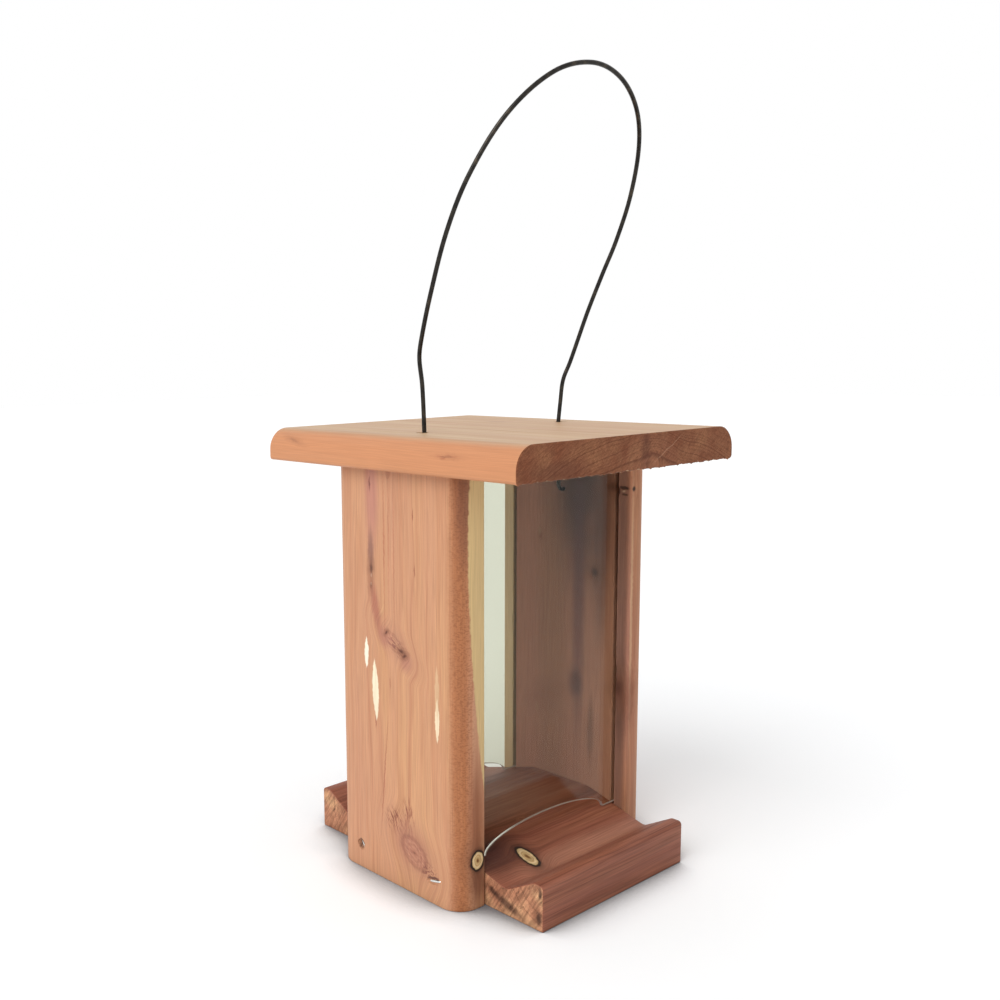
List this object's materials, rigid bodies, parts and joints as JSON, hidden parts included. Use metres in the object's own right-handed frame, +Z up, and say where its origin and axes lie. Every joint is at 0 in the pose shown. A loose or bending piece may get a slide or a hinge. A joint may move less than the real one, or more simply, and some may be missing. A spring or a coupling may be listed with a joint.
{
  "type": "hanging bird feeder",
  "caption": "Cedar hopper bird feeder with a lift-up roof board, clear windows over a milled seed tray, and a wire bail to hang it by.",
  "frame": {"origin": "middle of the feeder's footprint, on the surface it stands on: below the middle of the roof and of the tray's flat underside", "axes": "+Z up; +X from the left side panel to the right one, along the tray; -Y is the front, which one window and half of the tray face and the bail leans towards"},
  "size_m": [0.1746, 0.191, 0.4304],
  "materials": {
    "cedar_roof": "bare planed knotty cedar",
    "cedar_panels": "bare planed knotty cedar, pinkish heartwood with cream sapwood streaks",
    "cedar_tray": "bare milled cedar heartwood, darker",
    "clear_acrylic": "clear acrylic sheet with sawn edges",
    "dark_steel_wire": "dark oiled steel wire",
    "galvanised_steel": "galvanised staple wire"
  },
  "bodies": {
    "feeder_body": {"side_panel_left": "cedar_panels", "side_panel_right": "cedar_panels", "tray_floor": "cedar_tray", "window_front": "clear_acrylic", "window_back": "clear_acrylic", "wire_bail": "dark_steel_wire", "staple_left_front": "galvanised_steel", "staple_left_back": "galvanised_steel", "staple_right_front": "galvanised_steel", "staple_right_back": "galvanised_steel"},
    "roof": {"roof": "cedar_roof"}
  },
  "joints": [
    {"name": "roof_lift", "type": "slide", "parent": "feeder_body", "child": "roof", "axis": [0, 0, 1], "range_m": [0, 0.025]}
  ]
}
